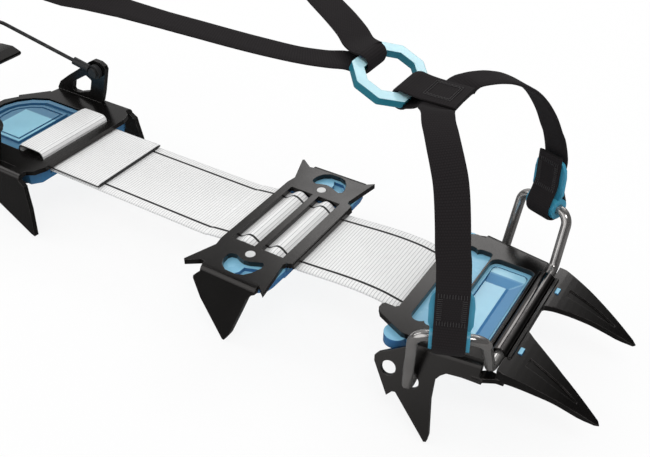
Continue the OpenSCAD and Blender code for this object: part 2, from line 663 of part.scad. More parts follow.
module heel_side() {
    v0 = flange_v0(heel_splay);
    tv = tip_v(heel_splay);
    flange([-237, ear_y + 2.8], 0, heel_splay,
        [[0, v0 + 0.2], [-1.6, 8], [3, 18.8], [23.9, tv - 0.6], [26.1, tv], [25.9, 15.1], [24.8, 6.9], [24.4, 2.4],
         [21.2, v0 + 0.2]], 0, 21.2);
    w0 = flange_v0(heel_rear_splay);
    wt = tip_v(heel_rear_splay);
    flange(heel_rear_o, heel_rear_a, heel_rear_splay,
        [[0, w0 + 0.2], [1.2, 9], [6.6, wt - 1.6], [7.4, wt], [9.4, wt], [14.4, 12], [17, 4.4], [17.4, w0 + 0.2]], 0, 17.4);
}

module heel_plate() {
    sy = ear_y + 2.8 + flange_yc(heel_splay) - 1;
    yc = flange_yc(heel_rear_splay) - 1;
    r0 = fp(heel_rear_o, heel_rear_a, 16.4, yc);
    r1 = fp(heel_rear_o, heel_rear_a, 1, yc);
    half = [
        [-210, 0], [-210, 27.5], [-212, 33], [-217, sy], [-236, sy], [-238.5, ear_y - 1], [-266, ear_y - 1], r0, r1,
        [-282.4, 9], [-283, 0]
    ];
    color(steel) difference() {
        union() {
            difference() {
                union() {
                    translate([0, 0, -sheet]) linear_extrude(sheet) polygon([for (q = flip(both_sides(half))) q]);
                    pair() heel_side();
                }
                pair() translate([-237.2, ear_y - sheet - 0.3, -0.12]) cube([14.2, 12, 4]);
            }
            pair() heel_ear();
        }
        translate([-220.5, -link_h - 0.6, -6]) cube([4.5, link_w + 1.2, 12]);
        translate([-231, -link_h - 0.6, -6]) mirror([1, 0, 0]) cube([20, link_w + 1.2, 12]);
        translate([0, 0, -6]) linear_extrude(12) polygon(both_sides([[-250, 0], [-250, link_h + 0.6],
            [-262, link_h + 0.6], [-270, 19], [-276, 13], [-278.6, 6], [-278.6, 0]]));
        translate([-231.2, -link_h - 0.6, -0.12]) cube([10.9, link_w + 1.2, 4]);
        pair() translate([-222.5, 30, -12]) cylinder(h = 11.3, r = 1.6);
    }
}

module heel_antiball() {
    top = -sheet - 0.1;
    color(blue) difference() {
        union() {
            translate([0, 0, -9]) linear_extrude(9 + top)
                polygon(both_sides([[-212.5, 0], [-212.5, 29], [-216, 33.4], [-262, 33.4], [-272, 20], [-276, 12],
                    [-276.4, 0]]));
            translate([0, 0, -4]) linear_extrude(3.2) offset(r = 1) polygon(both_sides([[-237, 0], [-237, link_h - 1],
                [-261, link_h - 1], [-269, 17.4], [-274.4, 11], [-276.8, 5], [-276.8, 0]]));
        }
        translate([0, 0, -2.4]) linear_extrude(3) difference() {
            polygon(both_sides([[-238.6, 0], [-238.6, 19.8], [-260, 19.8], [-267.4, 15.4], [-272.8, 9.6], [-274.8, 4.4],
                [-274.8, 0]]));
            polygon(both_sides([[-241.4, 0], [-241.4, 17], [-259.2, 17], [-265.4, 13.4], [-270.2, 8.2], [-272, 3.6],
                [-272, 0]]));
        }
        translate([0, 0, -1.6]) linear_extrude(3) difference() {
            polygon(both_sides([[-243, 0], [-243, 15.4], [-258.6, 15.4], [-264.2, 12.2], [-268.7, 7.4], [-270.4, 3.2],
                [-270.4, 0]]));
            polygon(both_sides([[-244.2, 0], [-244.2, 14.2], [-258.2, 14.2], [-263.4, 11.2], [-267.7, 6.8], [-269.2, 3],
                [-269.2, 0]]));
        }
        translate([rear_end - adjust_travel - 4, -link_h - 0.7, low_z - link_t / 2 - 0.4])
            cube([60 + adjust_travel, link_w + 1.4, -low_z + link_t / 2 + 0.4 - sheet - 0.25]);
        translate([-235.6, -link_h - 0.7, -4]) cube([40, link_w + 1.4, 8]);
        pair() translate([-222.5, 30, -12]) cylinder(h = 24, r = 1.6);
    }
}

module heel_screws() {
    color(polished) pair() translate([-222.5, 30, 0]) {
        translate([0, 0, -10]) cylinder(h = 9.2, r = 1.5);
        translate([0, 0, -10.6]) cylinder(h = 1.5, r = 3);
    }
}

eye_t = 2.4;
eye_y = ear_y - sheet - 0.3 - eye_t;

module ear_pins() {
    color(polished) pair() translate([ear_pin[0], 0, ear_pin[1]]) rotate([-90, 0, 0]) {
        translate([0, 0, eye_y - 1.2]) cylinder(h = ear_y + 0.6 - eye_y + 1.2, d = ear_pin_d);
        translate([0, 0, eye_y - 1.4]) cylinder(h = 1.3, d = ear_pin_d + 1.4);
        translate([0, 0, ear_y + 0.1]) cylinder(h = 1.2, d1 = ear_pin_d + 3.6, d2 = ear_pin_d + 2);
    }
}

// Cable, drawn in a frame at the ear pins whose -X runs up the cable
cable_rise = 22.56;
cable_y = eye_y + eye_t / 2;
cable_back = 60;
cable_side = 19.1;
cable_leg = unit([-cable_back, cable_side - cable_y, 0]);

module on_cable() {
    translate([ear_pin[0], 0, ear_pin[1]]) rotate([0, cable_rise, 0]) children();
}

module cable_eyes() {
    a = [0, cable_y, 0];
    color(polished) on_cable() pair() difference() {
        union() {
            translate([0, eye_y, 0]) rotate([-90, 0, 0]) cylinder(h = eye_t, r = ear_pin_d / 2 + 1.9);
            rod(a + cable_leg * 3.7, a + cable_leg * 13, 2.1);
        }
        translate([0, eye_y - 1, 0]) rotate([-90, 0, 0]) cylinder(h = eye_t + 2, r = ear_pin_d / 2 + run_fit);
        rod(a + cable_leg * 5, a + cable_leg * 14, cable_d / 2 + 0.02);
    }
}

module heel_cable() {
    a = [0, cable_y, 0];
    color(web_black) on_cable() wire([a + cable_leg * 5.2, [-cable_back, cable_side, 0], [-cable_back, -cable_side, 0],
        [cable_leg[0] * 5.2, -cable_y - cable_leg[1] * 5.2, 0]], [9, 9], cable_d / 2);
}

// Lever, drawn in a frame on the cable's rear run, leaning back
lever_p = [ear_pin[0] - cable_back * cos(cable_rise), 0, ear_pin[1] + cable_back * sin(cable_rise)];
screw_x = -7;
lever_h = 8.5;
slot_z = 43.5;

module on_lever() {
    translate(lever_p) rotate([0, -lever_lean, 0]) children();
}

module lever() {
    color(steel) on_lever() difference() {
        across(lever_h) offset(r = 1) offset(delta = -1)
            polygon([[-15.5, -23], [-13.2, -23], [-13.2, -8], [4, -8], [5.5, -4], [5.5, 14], [3.5, 26], [2.6, 40],
                     [2.4, 53], [-1, 56], [-6, 56], [-8.6, 52], [-9.4, 32], [-15.5, 22]]);
        across(6.6) polygon([[-13.2, -30], [3.3, -30], [3.3, 18], [-13.2, 18]]);
        translate([screw_x - wheel_d / 2 - 0.6, -20, 10.8]) cube([wheel_d + 1.2, 40, 6.4]);
        translate([screw_x, 0, 10]) cylinder(h = 12, d = screw_d + 0.1);
        rotate([90, 0, 0]) translate([0, 0, -20]) cylinder(h = 40, r = cable_d / 2 + run_fit);
        across(20) translate([-4.4, slot_z - ankle_web_w / 2 - 0.9]) square([3.6, ankle_web_w + 1.8]);
    }
}

module lever_claw() {
    color(steel) on_lever() difference() {
        union() {
            across(6.1) polygon([[-12.7, -20.5], [2.9, -20.5], [2.9, -10.5], [-12.7, -10.5]]);
            across(11) polygon([[1.5, -20.5], [1.5, -11], [3, -10.2], [12, -10.4], [20, -11.2], [25, -13.8], [25.2, -14.8],
                                [23.6, -16], [19, -14], [12, -13.6], [8, -15.4], [6.4, -20.5]]);
        }
        translate([screw_x, 0, -30]) cylinder(h = 40, d = screw_d + 0.1);
    }
}

module height_screw() {
    color(polished) on_lever() translate([screw_x, 0, 0]) {
        translate([0, 0, -22]) cylinder(h = 43.4, d = screw_d);
        translate([0, 0, 11.4]) difference() {
            cylinder(h = 5.2, d = wheel_d);
            for (i = [0 : 17]) rotate([0, 0, 20 * i]) translate([wheel_d / 2 + 0.3, 0, -1]) cylinder(h = 8, r = 0.9, $fn = 16);
        }
    }
}

heel_path_side = [
    [-178, 44, 110], [-200, 44, 110], [-238, 44, 110], [-252, 43.2, 108.4], [-264, 40.2, 105.6], [-274, 35.4, 102],
    [-283, 28.4, 97.6], [-290, 20, 92.8], [-294.4, 13, 88.6], [-296.6, 9.2, 86.2]
];

module heel_strap() {
    c = lever_p + [-2.6 * cos(lever_lean) - slot_z * sin(lever_lean), 0, slot_z * cos(lever_lean) - 2.6 * sin(lever_lean)];
    n = len(heel_path_side);
    far = [for (i = [0 : n - 1]) heel_path_side[i] + (i > n - 4 ? [c[0] + 297.4, 0, c[2] - 85.4] * (i - n + 4) / 3 : [0, 0, 0])];
    p = concat(far, [c + [0, 4, 0], c + [0, -4, 0]], [for (i = [n - 1 : -1 : 0]) [far[i][0], -far[i][1], far[i][2]]]);
    m = len(p);
    up = [-sin(lever_lean), 0, cos(lever_lean)];
    w = [for (i = [0 : m - 1]) let (k = min(1, min(i, m - 1 - i) / (n - 1)),
        a = [0, 0, 1] * (1 - k) + up * k, t = path_dir(p, i)) unit(a - t * (a * t)) * ankle_web_w / 2];
    color(web_black) band(p, w, web_t);
}

front_plate();
toe_bar();
front_antiball();
link_pin();
link_tuck();
bail_near();
bail_far();
guard_near();
guard_far();
toe_strap_near();
toe_strap_far();
strap_tab();
strap_ring();
ankle_strap();
strap_keeper();
link_front();
mid_plate();
mid_rivets();
mid_antiball();
link_mid();
link_rear();
link_tail();
link_bight();
heel_plate();
heel_antiball();
heel_screws();
ear_pins();
cable_eyes();
heel_cable();
lever();
lever_claw();
height_screw();
heel_strap();

module bail_far() {
    bail();
}

module bail_near() {
    mirror([0, 1, 0]) bail();
}

module guard_far() {
    guard();
}

module guard_near() {
    mirror([0, 1, 0]) guard();
}

module toe_strap_far() {
    toe_strap();
}

module toe_strap_near() {
    mirror([0, 1, 0]) toe_strap();
}
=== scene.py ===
import math
import bpy
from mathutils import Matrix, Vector


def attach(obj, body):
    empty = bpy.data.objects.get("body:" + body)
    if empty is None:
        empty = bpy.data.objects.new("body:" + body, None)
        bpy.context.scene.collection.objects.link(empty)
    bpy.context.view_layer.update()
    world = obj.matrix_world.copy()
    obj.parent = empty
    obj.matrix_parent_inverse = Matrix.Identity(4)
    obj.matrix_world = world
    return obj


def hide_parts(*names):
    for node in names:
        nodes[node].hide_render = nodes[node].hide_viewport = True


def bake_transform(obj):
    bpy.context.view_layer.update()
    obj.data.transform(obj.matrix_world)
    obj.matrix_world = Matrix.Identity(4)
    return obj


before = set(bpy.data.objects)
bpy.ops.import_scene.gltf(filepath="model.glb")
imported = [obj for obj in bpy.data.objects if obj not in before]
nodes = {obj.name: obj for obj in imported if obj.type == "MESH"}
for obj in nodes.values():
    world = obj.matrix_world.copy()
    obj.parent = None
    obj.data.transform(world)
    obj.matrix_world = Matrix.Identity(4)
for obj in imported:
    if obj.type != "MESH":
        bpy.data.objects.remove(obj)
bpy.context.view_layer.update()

# The camera's place, the floor's height and the paths of webbing, wires and tray are written in
# millimetres.
MM = 0.001


def V(*a):
    return Vector(a[0] if len(a) == 1 else a)


def unit(v):
    return v.normalized()


# Camera, fitted to the places of the three plates in the photograph
CAMERA_AT = (86.1, -239.8, 219.6)
CAMERA_DOWN = 37.359    # degrees below level
CAMERA_TURN = 32.163    # degrees round z, from looking along +y
cam_data = bpy.data.cameras.new("camera")
cam_data.sensor_fit = "HORIZONTAL"
cam_data.sensor_width = 36.0
cam_data.lens = 45.19
cam_data.clip_start = 0.01
cam_data.clip_end = 50.0
camera = bpy.data.objects.new("camera", cam_data)
camera.location = V(CAMERA_AT) * MM
camera.rotation_euler = (math.radians(90 - CAMERA_DOWN), 0, math.radians(CAMERA_TURN))
bpy.context.scene.collection.objects.link(camera)
bpy.context.scene.camera = camera
bpy.context.scene.view_settings.view_transform = "Standard"


# Material helpers
def add_node(tree, kind, inputs=None, **props):
    node = tree.nodes.new(kind)
    for key, value in props.items():
        setattr(node, key, value)
    for key, value in (inputs or {}).items():
        if isinstance(value, bpy.types.NodeSocket):
            tree.links.new(value, node.inputs[key])
        else:
            node.inputs[key].default_value = value
    return node


class Mat:
    """A new material, with a short call for each kind of node. Noise scales are per metre."""

    def __init__(self, name):
        self.material = bpy.data.materials.new(name)
        self.material.use_nodes = True
        self.tree = self.material.node_tree
        self.shader = self.tree.nodes["Principled BSDF"]

    def node(self, kind, inputs=None, **props):
        return add_node(self.tree, kind, inputs, **props)

    def math(self, op, a, b=None):
        ins = {0: a} if b is None else {0: a, 1: b}
        return self.node("ShaderNodeMath", ins, operation=op).outputs[0]

    def vmath(self, op, a, b=None):
        ins = {0: a} if b is None else {0: a, 1: b}
        out = self.node("ShaderNodeVectorMath", ins, operation=op).outputs
        return out["Value"] if op == "DOT_PRODUCT" else out[0]

    def mix(self, fac, a, b):
        n = self.node("ShaderNodeMix", data_type="RGBA")
        for socket, value in ((n.inputs[0], fac), (n.inputs[6], a), (n.inputs[7], b)):
            if isinstance(value, bpy.types.NodeSocket):
                self.tree.links.new(value, socket)
            else:
                socket.default_value = (*value, 1.0) if isinstance(value, tuple) else value
        return n.outputs[2]

    def span(self, value, lo, hi, a=0.0, b=1.0):
        """a where value is lo, b where it is hi, and no further."""
        return self.node("ShaderNodeMapRange", {0: value, 1: lo, 2: hi, 3: a, 4: b},
                         clamp=True).outputs[0]

    def noise(self, vector, scale, detail=3.0):
        return self.node("ShaderNodeTexNoise", {"Vector": vector, "Scale": scale,
                                                "Detail": detail, "Roughness": 0.5}).outputs[0]

    def coord(self, what="Object"):
        return self.node("ShaderNodeTexCoord").outputs[what]

    def split(self, vector):
        return self.node("ShaderNodeSeparateXYZ", {0: vector}).outputs

    def bevel(self, radius):
        return self.node("ShaderNodeBevel", {"Radius": radius}, samples=6).outputs[0]

    def bump(self, height, strength, distance, normal=None):
        ins = {"Height": height, "Strength": strength, "Distance": distance}
        if normal is not None:
            ins["Normal"] = normal
        return self.node("ShaderNodeBump", ins).outputs[0]

    def edge(self, bevelled, lo=0.97, hi=0.80):
        """1 along edges, where the bevelled normal leaves the true one."""
        g = self.node("ShaderNodeNewGeometry").outputs["Normal"]
        return self.span(self.vmath("DOT_PRODUCT", g, bevelled), lo, hi)

    def set(self, **kw):
        for key, value in kw.items():
            socket = self.shader.inputs[key.replace("_", " ")]
            if isinstance(value, bpy.types.NodeSocket):
                self.tree.links.new(value, socket)
            else:
                socket.default_value = (*value, 1.0) if isinstance(value, tuple) else value


def steel_mat():
    """Black coated steel, worn to a dull grey along its edges; the same grey also serves as a
    painted highlight for the bright lines along them.
    """
    dark, light, bare_and_highlight_grey = (0.0020, 0.0018, 0.0017), (0.0038, 0.0034, 0.0032), (0.085, 0.080, 0.077)
    m = Mat("steel_coated")
    p = m.coord()
    bev = m.bevel(0.00040)
    cloud = m.noise(p, 60.0, 4.0)
    grain = m.noise(p, 2600.0, 2.0)
    patchy = m.span(m.noise(p, 240.0, 4.0), 0.30, 0.62, 0.25, 0.9)
    # Edge mask: real wear and painted highlight, the same on every edge, lit or not
    wear_and_edge_highlight = m.math("MULTIPLY", m.edge(bev, 0.985, 0.86), patchy)
    base = m.mix(wear_and_edge_highlight, m.mix(m.span(cloud, 0.35, 0.65), dark, light), bare_and_highlight_grey)
    rough = m.math("SUBTRACT", m.span(cloud, 0.3, 0.7, 0.20, 0.27),
                   m.math("MULTIPLY", wear_and_edge_highlight, 0.05))
    m.set(Base_Color=base, Roughness=rough, Normal=m.bump(grain, 0.08, 0.00005, bev),
          Specular_IOR_Level=0.42, Specular_Tint=(1.0, 0.95, 0.92),
          Coat_Weight=0.16, Coat_Roughness=0.16)
    return m.material


def nickel_mat(name, dark, light, metal):
    """Smooth nickel finish with fine polishing marks, which are narrow along y."""
    m = Mat(name)
    p = m.coord()
    bev = m.bevel(0.0003)
    fine = m.noise(m.vmath("MULTIPLY", p, (1.0, 14.0, 1.0)), 420.0)
    cloud = m.noise(p, 90.0)
    m.set(Base_Color=m.mix(m.span(cloud, 0.35, 0.65), dark, light), Metallic=metal,
          Roughness=m.span(fine, 0.3, 0.7, 0.10, 0.17), Normal=m.bump(fine, 0.06, 0.00005, bev))
    return m.material


def blue_mat(name, light, deep, rough=0.26, axis=(0.0, 0.0, 1.0), lo=0.72, hi=0.97, panel=None):
    """Blue colour with painted light: light on faces that look along axis, as if lit, and deep on
    the others, as painted shade.

    Where panel is given, as its centre and its half size in x and y, faces outside it stay deep,
    in painted shade.
    """
    m = Mat(name)
    p = m.coord()
    n = m.coord("Normal")
    bev = m.bevel(0.0005)
    # Painted light and shade: faces that look along axis get the light colour, the others the
    # deep one
    face = m.span(m.math("ABSOLUTE", m.vmath("DOT_PRODUCT", n, axis)), lo, hi)
    cloud = m.noise(p, 55.0)
    painted_light = m.math("MULTIPLY", face, m.span(cloud, 0.30, 0.70, 0.80, 1.0))
    if panel:
        centre, (half_x, half_y) = panel
        off = m.split(m.vmath("ABSOLUTE", m.vmath("SUBTRACT", p, centre)))
        reach = m.math("MAXIMUM", m.math("DIVIDE", off[0], half_x),
                       m.math("DIVIDE", off[1], half_y))
        painted_light = m.math("MULTIPLY", painted_light, m.span(reach, 0.98, 1.04, 1.0, 0.22))
    m.set(Base_Color=m.mix(painted_light, deep, light),
          Roughness=m.span(cloud, 0.3, 0.7, rough - 0.04, rough + 0.06),
          Normal=m.bump(m.noise(p, 1500.0, 2.0), 0.08, 0.00005, bev),
          Subsurface_Weight=0.10, Subsurface_Scale=0.0015, Specular_IOR_Level=0.5)
    m.shader.inputs["Subsurface Radius"].default_value = (0.5, 1.0, 1.3)
    return m.material


def plastic_mat(name, a, b, rough=0.45, bump=0.12):
    """Moulded plastic from a to b in soft clouds, paler along its edges."""
    m = Mat(name)
    p = m.coord()
    bev = m.bevel(0.0004)
    cloud = m.noise(p, 120.0)
    base = m.mix(m.span(cloud, 0.35, 0.65), a, b)
    pale = tuple(min(1.0, 1.5 * x + 0.02) for x in b)
    base = m.mix(m.math("MULTIPLY", m.edge(bev), 0.5), base, pale)
    m.set(Base_Color=base, Roughness=m.span(cloud, 0.3, 0.7, rough - 0.05, rough + 0.07),
          Normal=m.bump(m.noise(p, 1800.0, 2.0), bump, 0.00008, bev))
    return m.material


def zinc_mat():
    """Zinc plating with a fine crystal grain."""
    m = Mat("zinc_plated")
    p = m.coord()
    bev = m.bevel(0.0003)
    fine = m.noise(p, 700.0, 4.0)
    m.set(Base_Color=m.mix(m.span(fine, 0.35, 0.65), (0.40, 0.41, 0.42), (0.55, 0.56, 0.58)),
          Metallic=1.0, Roughness=m.span(fine, 0.3, 0.7, 0.24, 0.38),
          Normal=m.bump(fine, 0.10, 0.00008, bev))
    return m.material


def cable_mat():
    """Thin black coating over wire rope. UV is the angle round the cable and the mm along it."""
    strands, twist = 6.0, 1.1    # twist in radians per mm
    m = Mat("cable_coated")
    uv = m.split(m.coord("UV"))
    lay = m.math("SINE", m.math("ADD", m.math("MULTIPLY", uv[0], strands),
                                m.math("MULTIPLY", uv[1], twist)))
    cloud = m.span(m.noise(m.coord(), 500.0), 0.3, 0.7)
    m.set(Base_Color=m.mix(cloud, (0.012, 0.012, 0.013), (0.026, 0.025, 0.025)), Roughness=0.42,
          Normal=m.bump(lay, 0.35, 0.00012))
    return m.material


def black_web_mat(half):
    """Black plain weave. UV is the mm across, from the middle, and the mm along."""
    pick_pitch, end_pitch = 0.95, 0.9
    m = Mat("webbing_black_%d" % round(half * 10))
    uv = m.split(m.coord("UV"))
    row = m.math("DIVIDE", uv[1], pick_pitch)
    pick = m.math("ABSOLUTE", m.math("SINE", m.math("MULTIPLY", row, math.pi)))
    shift = m.math("MULTIPLY", m.math("MODULO", m.math("FLOOR", row), 2.0), 0.5)
    column = m.math("ADD", m.math("DIVIDE", uv[0], end_pitch), shift)
    end = m.math("ABSOLUTE", m.math("SINE", m.math("MULTIPLY", column, math.pi)))
    weave = m.math("MULTIPLY", m.math("POWER", pick, 0.6), m.math("POWER", end, 0.5))
    selvedge = m.span(m.math("ABSOLUTE", uv[0]), half - 1.0, half - 0.5)
    p = m.coord()
    fuzz = m.noise(p, 3000.0, 2.0)
    fade = m.span(m.noise(p, 70.0), 0.40, 0.75)
    base = m.mix(m.span(weave, 0.10, 0.9), (0.0115, 0.0100, 0.0106), (0.0185, 0.0158, 0.0168))
    base = m.mix(m.math("MULTIPLY", fade, 0.30), base, (0.0165, 0.0142, 0.0150))
    base = m.mix(m.math("MULTIPLY", selvedge, 0.3), base, (0.0165, 0.0145, 0.0152))
    height = m.math("ADD", weave, m.math("MULTIPLY", fuzz, 0.35))
    m.set(Base_Color=base, Roughness=m.span(weave, 0.0, 1.0, 0.94, 0.84),
          Normal=m.bump(height, 0.30, 0.00010),
          Specular_IOR_Level=0.12, Sheen_Weight=0.02, Sheen_Roughness=0.5)
    return m.material


def link_mat(name, tracer):
    """White ribbed webbing, with two black tracer lines, or plain with black painted on its side
    faces as a shadow.

    UV is the mm across, from the middle, and the mm along.
    """
    rib_pitch, warp_pitch = 1.45, 0.8
    white, black = (0.95, 0.95, 0.945), (0.02, 0.02, 0.021)
    m = Mat(name)
    uv = m.split(m.coord("UV"))
    p = m.coord()
    across = m.math("ABSOLUTE", uv[0])
    rib = m.math("ABSOLUTE", m.math("SINE", m.math("MULTIPLY", uv[1], math.pi / rib_pitch)))
    warp = m.math("ABSOLUTE", m.math("SINE", m.math("MULTIPLY", uv[0], math.pi / warp_pitch)))
    groove = m.math("MULTIPLY", m.span(rib, 0.0, 0.42, 1.0, 0.0),
                    m.span(m.noise(p, 45.0), 0.3, 0.7, 0.80, 1.0))
    # Grey of the grooves, in the middle and, from 19.2 mm out, beside the edges
    line = m.mix(m.span(across, 18.6, 19.2), (0.34, 0.34, 0.34), (0.32, 0.32, 0.33))
    base = m.mix(groove, white, line)
    base = m.mix(m.math("MULTIPLY", m.span(warp, 0.0, 0.3, 1.0, 0.0), 0.14), base,
                 (0.62, 0.62, 0.63))
    hem = m.span(across, 21.7, 22.2)
    base = m.mix(m.math("MULTIPLY", hem, 0.35), base, (0.55, 0.56, 0.57))
    height = m.math("ADD", m.math("POWER", rib, 0.6), m.math("MULTIPLY", warp, 0.25))
    if tracer:
        ink = m.math("MULTIPLY", m.span(across, 16.85, 17.0), m.span(across, 18.15, 18.0))
        cross = m.span(rib, 0.0, 0.3, 0.5, 1.0)
        base = m.mix(ink, base, black)
        height = m.math("ADD", height, m.math("MULTIPLY", m.math("MULTIPLY", ink, cross), 0.4))
    else:
        # Painted shadow: black on the side faces along the edges of the plain webbing
        base = m.mix(m.span(across, 22.30, 22.36), base, black)
    fuzz = m.noise(p, 2500.0, 2.0)
    height = m.math("ADD", height, m.math("MULTIPLY", fuzz, 0.25))
    m.set(Base_Color=base, Roughness=0.86, Normal=m.bump(height, 0.50, 0.00022),
          Specular_IOR_Level=0.25, Sheen_Weight=0.06)
    return m.material


def thread_mat(name, a, b):
    """Twisted thread, and the melted fibre of a cut end."""
    m = Mat(name)
    twist = m.node("ShaderNodeTexWave", {"Vector": m.coord(), "Scale": 900.0,
                                         "Distortion": 2.0}).outputs[1]
    m.set(Base_Color=m.mix(twist, a, b), Roughness=0.7, Normal=m.bump(twist, 0.4, 0.00005))
    return m.material


RING_TILT = math.radians(25)    # the flat ring rises to the rear by this angle
RING_AXIS = (math.sin(RING_TILT), 0.0, math.cos(RING_TILT))

STEEL = steel_mat()
NICKEL = nickel_mat("nickel_bright", (0.38, 0.365, 0.355), (0.46, 0.445, 0.435), 0.80)
NICKEL_DARK = nickel_mat("nickel_dark", (0.105, 0.100, 0.098), (0.15, 0.143, 0.14), 1.0)
# For each blue part below, the light colour is painted light on faces that look along its axis,
# and the deep colour is painted shade on the others
ANTIBALL = blue_mat("antiball_blue", (0.27, 0.60, 0.80), (0.045, 0.165, 0.36))
HEEL_BLUE = blue_mat("heel_blue", (0.33, 0.68, 0.84), (0.040, 0.150, 0.30), 0.20,
                     panel=((-0.253, -0.004, 0.0), (0.0115, 0.0125)))
TRAY = blue_mat("tray_blue", (0.42, 0.75, 0.91), (0.075, 0.25, 0.50), 0.22, lo=0.93, hi=0.995)
TEAL = blue_mat("sleeve_teal", (0.070, 0.40, 0.56), (0.045, 0.29, 0.44), 0.32)
RING = blue_mat("ring_ice", (0.56, 0.86, 0.94), (0.020, 0.17, 0.23), 0.18, RING_AXIS, 0.60, 0.96)
BLACK = plastic_mat("plastic_black", (0.014, 0.014, 0.015), (0.024, 0.024, 0.025))
RIVET = plastic_mat("rivet_pale", (0.70, 0.71, 0.71), (0.80, 0.80, 0.79), 0.35, 0.06)
ZINC = zinc_mat()
CABLE = cable_mat()
WEB_TOE = black_web_mat(6.0)
WEB_ANKLE = black_web_mat(6.5)
WEB_TAB = black_web_mat(8.5)
LINK = link_mat("webbing_white", True)
LINK_BACK = link_mat("webbing_white_back", False)
THREAD = thread_mat("thread_black", (0.020, 0.018, 0.019), (0.055, 0.050, 0.052))
INK = thread_mat("cut_end_black", (0.012, 0.012, 0.013), (0.028, 0.028, 0.029))

for group, mat in (
    (("front_plate", "mid_plate", "heel_plate", "lever", "lever_claw"), STEEL),
    (("toe_bar", "link_pin"), NICKEL_DARK),
    (("front_antiball", "mid_antiball"), ANTIBALL),
    (("heel_antiball",), HEEL_BLUE),
    (("guard_near", "guard_far"), TEAL),
    (("strap_ring",), RING),
    (("strap_keeper", "cable_eyes", "ear_pins"), BLACK),
    (("mid_rivets",), RIVET),
    (("heel_screws", "height_screw"), ZINC),
):
    for n in group:
        me = nodes[n].data
        me.materials.clear()
        me.materials.append(mat)


# Mesh helpers
def mirror(points):
    return [V(q[0], -q[1], q[2]) for q in points]


def tangent(points, i):
    return unit(points[min(i + 1, len(points) - 1)] - points[max(i - 1, 0)])


def arc(cx, cy, r, a0, a1, parts):
    """Points of a plane round (cx, cy), from angle a0 to a1 in degrees."""
    angles = [math.radians(a0 + (a1 - a0) * k / parts) for k in range(parts + 1)]
    return [(cx + r * math.cos(a), cy + r * math.sin(a)) for a in angles]


def catmull(p, i, f):
    """The point at share f between points i and i + 1, on a smooth curve through all."""
    a = p[i - 1] if i > 0 else p[i] * 2 - p[i + 1]
    b, c = p[i], p[i + 1]
    d = p[i + 2] if i + 2 < len(p) else p[i + 1] * 2 - p[i]
    return 0.5 * ((2 * b) + (c - a) * f + (2 * a - 5 * b + 4 * c - d) * f * f
                  + (3 * b - a - 3 * c + d) * f * f * f)


def refine(path, half, step):
    """The path and its half-width vectors with a point about every step."""
    pts, hs = [], []
    for i in range(len(path) - 1):
        n = max(1, round((path[i + 1] - path[i]).length / step))
        for k in range(n):
            f = k / n
            pts.append(catmull(path, i, f))
            hs.append(half[i].lerp(half[i + 1], f))
    pts.append(path[-1].copy())
    hs.append(half[-1].copy())
    return pts, hs


def tube_mesh(pts, r, sides):
    """Vertices and faces of a closed tube, and each vertex's angle and distance along it."""
    nrm = unit(tangent(pts, 0).cross(V(0, 0, 1) if abs(tangent(pts, 0).z) < 0.8 else V(0, 1, 0)))
    vs, uv, dist = [], [], 0.0
    for i in range(len(pts)):
        tan = tangent(pts, i)
        nrm = unit(nrm - tan * tan.dot(nrm))
        bi = tan.cross(nrm)
        if i:
            dist += (pts[i] - pts[i - 1]).length
        for k in range(sides):
            a = 2 * math.pi * k / sides
            vs.append(pts[i] + nrm * (r * math.cos(a)) + bi * (r * math.sin(a)))
            uv.append((a, dist))
    fs = []
    for i in range(len(pts) - 1):
        for k in range(sides):
            a, b = i * sides + k, i * sides + (k + 1) % sides
            fs.append((a, b, b + sides, a + sides))
    fs.append(tuple(reversed(range(sides))))
    fs.append(tuple((len(pts) - 1) * sides + k for k in range(sides)))
    return vs, fs, uv


def add_object(name, verts, faces, mats, crease, uv=None, uv_name=None):
    """Object from vertices in mm, shaded smooth up to the crease angle in degrees."""
    me = bpy.data.meshes.new(name)
    me.from_pydata([v * MM for v in verts], [], faces)
    layer = me.uv_layers.new(name=uv_name) if uv else None
    for poly in me.polygons:
        poly.use_smooth = True
        if uv:
            for li in poly.loop_indices:
                layer.data[li].uv = uv[me.loops[li].vertex_index]
    for mat in mats:
        me.materials.append(mat)
    me.update()
    me.set_sharp_from_angle(angle=math.radians(crease))
    ob = bpy.data.objects.new(name, me)
    bpy.context.scene.collection.objects.link(ob)
    return ob


